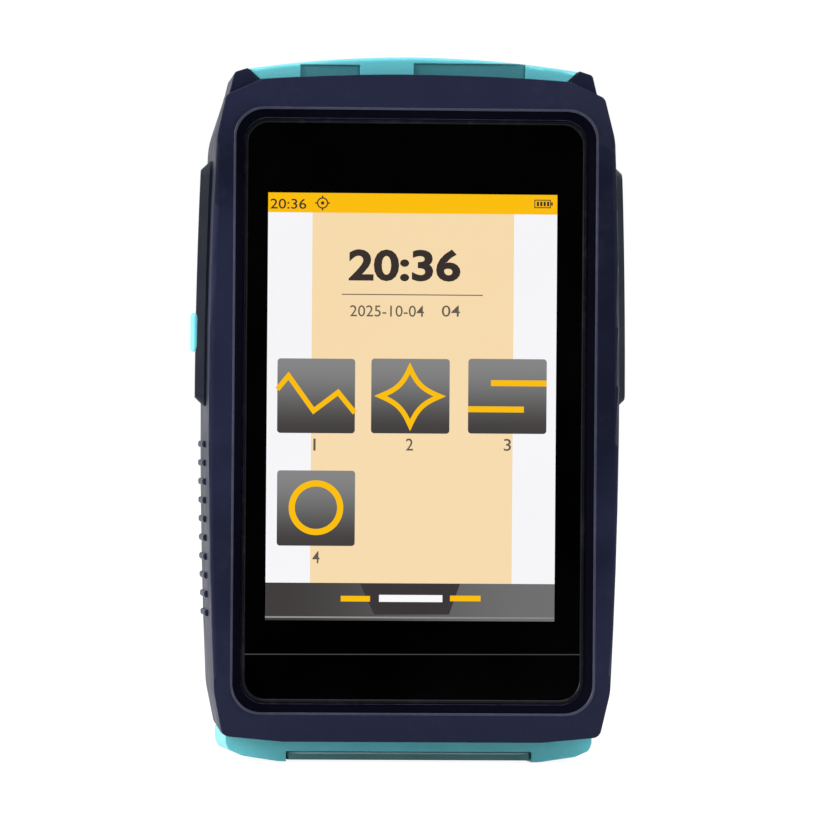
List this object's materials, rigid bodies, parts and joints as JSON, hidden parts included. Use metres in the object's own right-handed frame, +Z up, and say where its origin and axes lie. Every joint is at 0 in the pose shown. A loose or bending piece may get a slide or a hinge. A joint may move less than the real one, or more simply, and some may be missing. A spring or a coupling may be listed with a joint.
{
  "type": "optical time domain reflectometer",
  "caption": "Handheld touch screen fibre tester, navy housing with a black glass front, teal hinged port cover, side button and foot.",
  "frame": {"origin": "on the floor plane below the middle of the housing, which stands on its foot", "axes": "+Z up, -Y out of the screen, +X to the right of someone who looks at the screen"},
  "size_m": [0.0741, 0.034, 0.1203],
  "materials": {
    "navy_shell": "fine satin",
    "navy_rubber": "soft touch",
    "seal_rubber": "matt",
    "ring": "satin",
    "black_glass": "polished, printed black behind",
    "adhesive": "matt",
    "display": "polished",
    "carrier": "matt",
    "teal_plastic": "satin",
    "teal_rubber": "matt",
    "panel_black": "matt",
    "adapter_metal": "nickel plated",
    "ceramic": "polished",
    "steel": "plain",
    "gold_can": "plated",
    "board_green": "solder mask",
    "black_plastic": "matt",
    "module_metal": "bead blasted",
    "fibre": "buffered",
    "battery": "wrapped",
    "foam": "foam"
  },
  "bodies": {
    "housing": {"front_shell": "navy_shell", "rear_shell": "navy_shell", "left_side_grip": "navy_rubber", "right_side_grip": "navy_rubber", "shell_seal": "seal_rubber", "bezel_ring": "ring", "touch_glass": "black_glass", "glass_adhesive": "adhesive", "lcd_panel": "display", "lcd_carrier": "carrier", "bottom_cap": "teal_plastic", "port_panel": "panel_black", "otdr_adapter": "adapter_metal", "power_meter_adapter": "adapter_metal", "fault_locator_port": "adapter_metal", "otdr_sleeve": "ceramic", "power_meter_sleeve": "ceramic", "fault_locator_sleeve": "ceramic", "shell_screws": "steel", "panel_screws": "steel", "adapter_screws": "steel", "io_screws": "steel", "board_screws": "steel", "cover_hinge_pin": "steel", "flap_hinge_pin": "steel", "usb_c_socket": "steel", "memory_card_socket": "steel", "board_shields": "steel", "power_detector": "gold_can", "fault_laser": "gold_can", "main_board": "board_green", "io_board": "board_green", "switch_board": "board_green", "power_switch": "black_plastic", "beeper": "black_plastic", "fibre_tray": "black_plastic", "otdr_module": "module_metal", "fibre_coil": "fibre", "otdr_pigtail": "fibre", "battery_pack": "battery", "battery_pads": "foam"},
    "power_button": {"power_button": "teal_plastic"},
    "top_cover": {"top_port_cover": "teal_plastic"},
    "foot_flap": {"charge_port_flap": "teal_rubber"}
  },
  "joints": [
    {"name": "power_button_press", "type": "slide", "parent": "housing", "child": "power_button", "axis": [1, 0, 0], "range_m": [0, 0.0006], "stiffness_N_per_m": 1500},
    {"name": "top_cover_hinge", "type": "hinge", "parent": "housing", "child": "top_cover", "pos_m": [0, 0.014, 0.1166], "axis": [-1, 0, 0], "range_deg": [0, 150]},
    {"name": "bottom_flap_hinge", "type": "hinge", "parent": "housing", "child": "foot_flap", "pos_m": [0, 0.0085, 0.00115], "axis": [1, 0, 0], "range_deg": [0, 95]}
  ]
}
